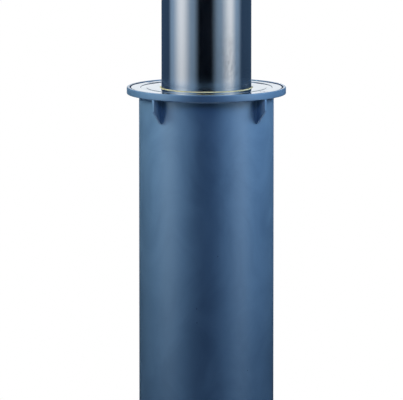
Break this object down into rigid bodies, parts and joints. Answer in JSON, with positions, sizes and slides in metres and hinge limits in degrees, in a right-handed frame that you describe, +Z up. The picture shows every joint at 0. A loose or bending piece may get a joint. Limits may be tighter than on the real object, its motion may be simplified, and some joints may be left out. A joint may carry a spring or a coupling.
{
  "type": "retractable bollard",
  "caption": "Round stainless post that slides down into a buried painted steel casing with a gusseted flange, lifted by a gas spring and locked by two bolts from a key in its cap.",
  "frame": {"origin": "centre of the underside of the casing's base plate", "axes": "+Z up along the post, -Y to the front, +X to the right seen from the front; the post is raised and unlocked at rest"},
  "size_m": [0.21, 0.21, 1.406],
  "materials": {
    "casing_paint": "satin blue-grey paint",
    "stainless": "polished stainless steel with faint marks",
    "zinc_steel": "zinc-plated steel",
    "cast_aluminium": "as machined",
    "acetal": "white acetal",
    "rubber": "black rubber",
    "polyurethane": "pale yellow polyurethane",
    "brass": "plain brass",
    "spring_paint": "black paint",
    "reflective_film": "white reflective film"
  },
  "bodies": {
    "casing": {"base_plate": "casing_paint", "drain_strainer": "zinc_steel", "casing_tube": "casing_paint", "top_flange": "casing_paint", "gusset_1": "casing_paint", "gusset_2": "casing_paint", "gusset_3": "casing_paint", "gusset_4": "casing_paint", "guide_rail_right": "zinc_steel", "guide_rail_left": "zinc_steel", "housing_ledge": "zinc_steel", "guide_housing": "cast_aluminium", "guide_bush": "acetal", "housing_bolt_1": "zinc_steel", "housing_bolt_2": "zinc_steel", "housing_bolt_3": "zinc_steel", "seal_carrier": "stainless", "wiper_seal": "polyurethane", "cover_ring": "stainless", "cover_screw_1": "stainless", "cover_screw_2": "stainless", "cover_screw_3": "stainless", "cover_screw_4": "stainless", "buffer_front": "rubber", "buffer_rear": "rubber", "rod_bracket": "zinc_steel", "rod_pin": "zinc_steel", "gas_spring_rod": "stainless"},
    "post": {"post_tube": "stainless", "reflective_band": "reflective_film", "head_plate": "zinc_steel", "cap_gasket": "rubber", "post_cap": "stainless", "cap_screw_1": "stainless", "cap_screw_2": "stainless", "cap_screw_3": "stainless", "lock_barrel": "brass", "flap_pin": "stainless", "gas_spring_cylinder": "spring_paint", "gas_spring_nut": "zinc_steel", "shaft_steady": "acetal", "latch_housing": "cast_aluminium", "latch_lid": "cast_aluminium", "lid_screw_1": "zinc_steel", "lid_screw_2": "zinc_steel", "foot_plate": "zinc_steel", "foot_screw_1": "zinc_steel", "foot_screw_2": "zinc_steel", "guide_shoe_front": "acetal", "guide_shoe_rear": "acetal", "stop_pad_front": "rubber", "stop_pad_rear": "rubber"},
    "lock_drive": {"lock_plug": "brass", "shaft_coupling": "zinc_steel", "drive_shaft": "zinc_steel", "cam_disc": "zinc_steel"},
    "right_bolt": {"latch_bolt_right": "stainless"},
    "left_bolt": {"latch_bolt_left": "stainless"},
    "flap": {"lock_flap": "stainless"}
  },
  "joints": [
    {"name": "post_slide", "type": "slide", "parent": "casing", "child": "post", "axis": [0, 0, 1], "range_m": [-0.6, 0], "stiffness_N_per_m": 60, "springref_m": 4},
    {"name": "lock_turn", "type": "hinge", "parent": "post", "child": "lock_drive", "pos_m": [0, 0, 1.38], "axis": [0, 0, 1], "range_deg": [0, 90]},
    {"name": "right_bolt_slide", "type": "slide", "parent": "post", "child": "right_bolt", "axis": [1, 0, 0], "range_m": [0, 0.0141]},
    {"name": "left_bolt_slide", "type": "slide", "parent": "post", "child": "left_bolt", "axis": [-1, 0, 0], "range_m": [0, 0.0141]},
    {"name": "flap_hinge", "type": "hinge", "parent": "post", "child": "flap", "pos_m": [0, 0.029, 1.4022], "axis": [-1, 0, 0], "range_deg": [0, 95]}
  ],
  "couplings": [
    {"joint": "right_bolt_slide", "follows": "lock_turn", "m_per_rad": 0.0089127},
    {"joint": "left_bolt_slide", "follows": "lock_turn", "m_per_rad": 0.0089127}
  ]
}
